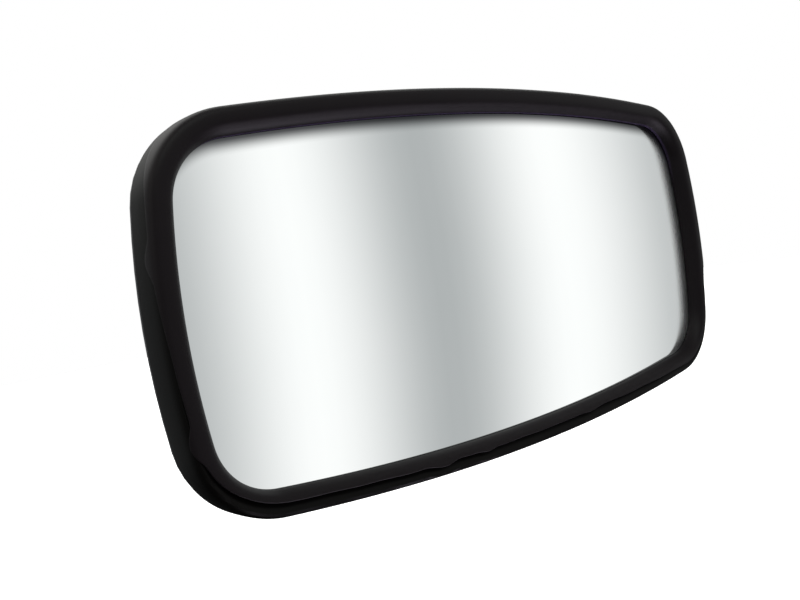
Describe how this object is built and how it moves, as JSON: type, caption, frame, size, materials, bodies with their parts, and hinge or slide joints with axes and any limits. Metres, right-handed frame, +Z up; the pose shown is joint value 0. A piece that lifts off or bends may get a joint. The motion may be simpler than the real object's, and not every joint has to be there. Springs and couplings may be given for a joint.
{
  "type": "convex security mirror",
  "caption": "Wide convex mirror with bowed edges and a round-edged rubber rim in a bowl-shaped shell, on a wall bracket that swings, tilts and lets the head turn upright.",
  "frame": {"origin": "middle of the wall plate's back face, where the bracket meets the wall", "axes": "+Y into the wall, so the mirror faces -Y; +Z up; X along the mirror's width"},
  "size_m": [0.356, 0.191, 0.1752],
  "materials": {
    "mirror_silver": "polished, silvered behind glass",
    "black_rubber": "satin extruded rubber",
    "black_abs": "fine-grained moulded plastic",
    "grey_foam": "closed-cell foam",
    "hardboard": "pressed fibre board",
    "zinc_steel": "zinc plated",
    "black_powder_coat": "satin powder coat on steel",
    "white_nylon": "natural nylon",
    "black_knob": "moulded plastic"
  },
  "bodies": {
    "wall_bracket": {"wall_plate": "black_powder_coat", "wall_fork": "black_powder_coat", "plate_rivet_1": "zinc_steel", "plate_rivet_2": "zinc_steel", "pan_bolt": "zinc_steel", "pan_bolt_washer": "zinc_steel", "pan_pad_washer_1": "white_nylon", "pan_pad_washer_2": "white_nylon", "pan_knob_washer": "zinc_steel"},
    "pan_knob_body": {"pan_knob": "black_knob", "pan_knob_insert": "zinc_steel"},
    "arm": {"rear_knuckle": "black_powder_coat", "front_knuckle": "black_powder_coat", "arm_tube": "black_powder_coat", "arm_pin_1": "zinc_steel", "arm_pin_2": "zinc_steel"},
    "tilt_bracket": {"tilt_fork": "black_powder_coat", "tilt_bolt": "zinc_steel", "tilt_bolt_washer": "zinc_steel", "tilt_pad_washer_1": "white_nylon", "tilt_pad_washer_2": "white_nylon", "tilt_knob_washer": "zinc_steel"},
    "tilt_knob_body": {"tilt_knob": "black_knob", "tilt_knob_insert": "zinc_steel"},
    "mirror_head": {"mirror_glass": "mirror_silver", "foam_pad": "grey_foam", "backing_board": "hardboard", "rubber_gasket": "black_rubber", "back_shell": "black_abs", "cover_screw_1": "zinc_steel", "cover_screw_2": "zinc_steel", "cover_screw_3": "zinc_steel", "cover_screw_4": "zinc_steel", "stiffener_plate": "zinc_steel", "shell_rivet_1": "zinc_steel", "shell_rivet_2": "zinc_steel", "shell_rivet_3": "zinc_steel", "shell_rivet_4": "zinc_steel", "head_stud": "zinc_steel", "friction_washer": "white_nylon", "stud_washer": "zinc_steel", "stud_lock_nut": "zinc_steel"}
  },
  "joints": [
    {"name": "pan", "type": "hinge", "parent": "wall_bracket", "child": "arm", "pos_m": [0, -0.022, 0], "axis": [0, 0, 1], "range_deg": [-35, 35]},
    {"name": "pan_knob_turn", "type": "hinge", "parent": "wall_bracket", "child": "pan_knob_body", "pos_m": [0, -0.022, 0], "axis": [0, 0, 1], "range_deg": [0, 360]},
    {"name": "tilt", "type": "hinge", "parent": "arm", "child": "tilt_bracket", "pos_m": [0, -0.118, 0], "axis": [1, 0, 0], "range_deg": [-30, 30]},
    {"name": "tilt_knob_turn", "type": "hinge", "parent": "tilt_bracket", "child": "tilt_knob_body", "pos_m": [0, -0.118, 0], "axis": [-1, 0, 0], "range_deg": [0, 360]},
    {"name": "head_turn", "type": "hinge", "parent": "tilt_bracket", "child": "mirror_head", "pos_m": [0, -0.1466, 0], "axis": [0, 1, 0], "range_deg": [-90, 90]}
  ]
}
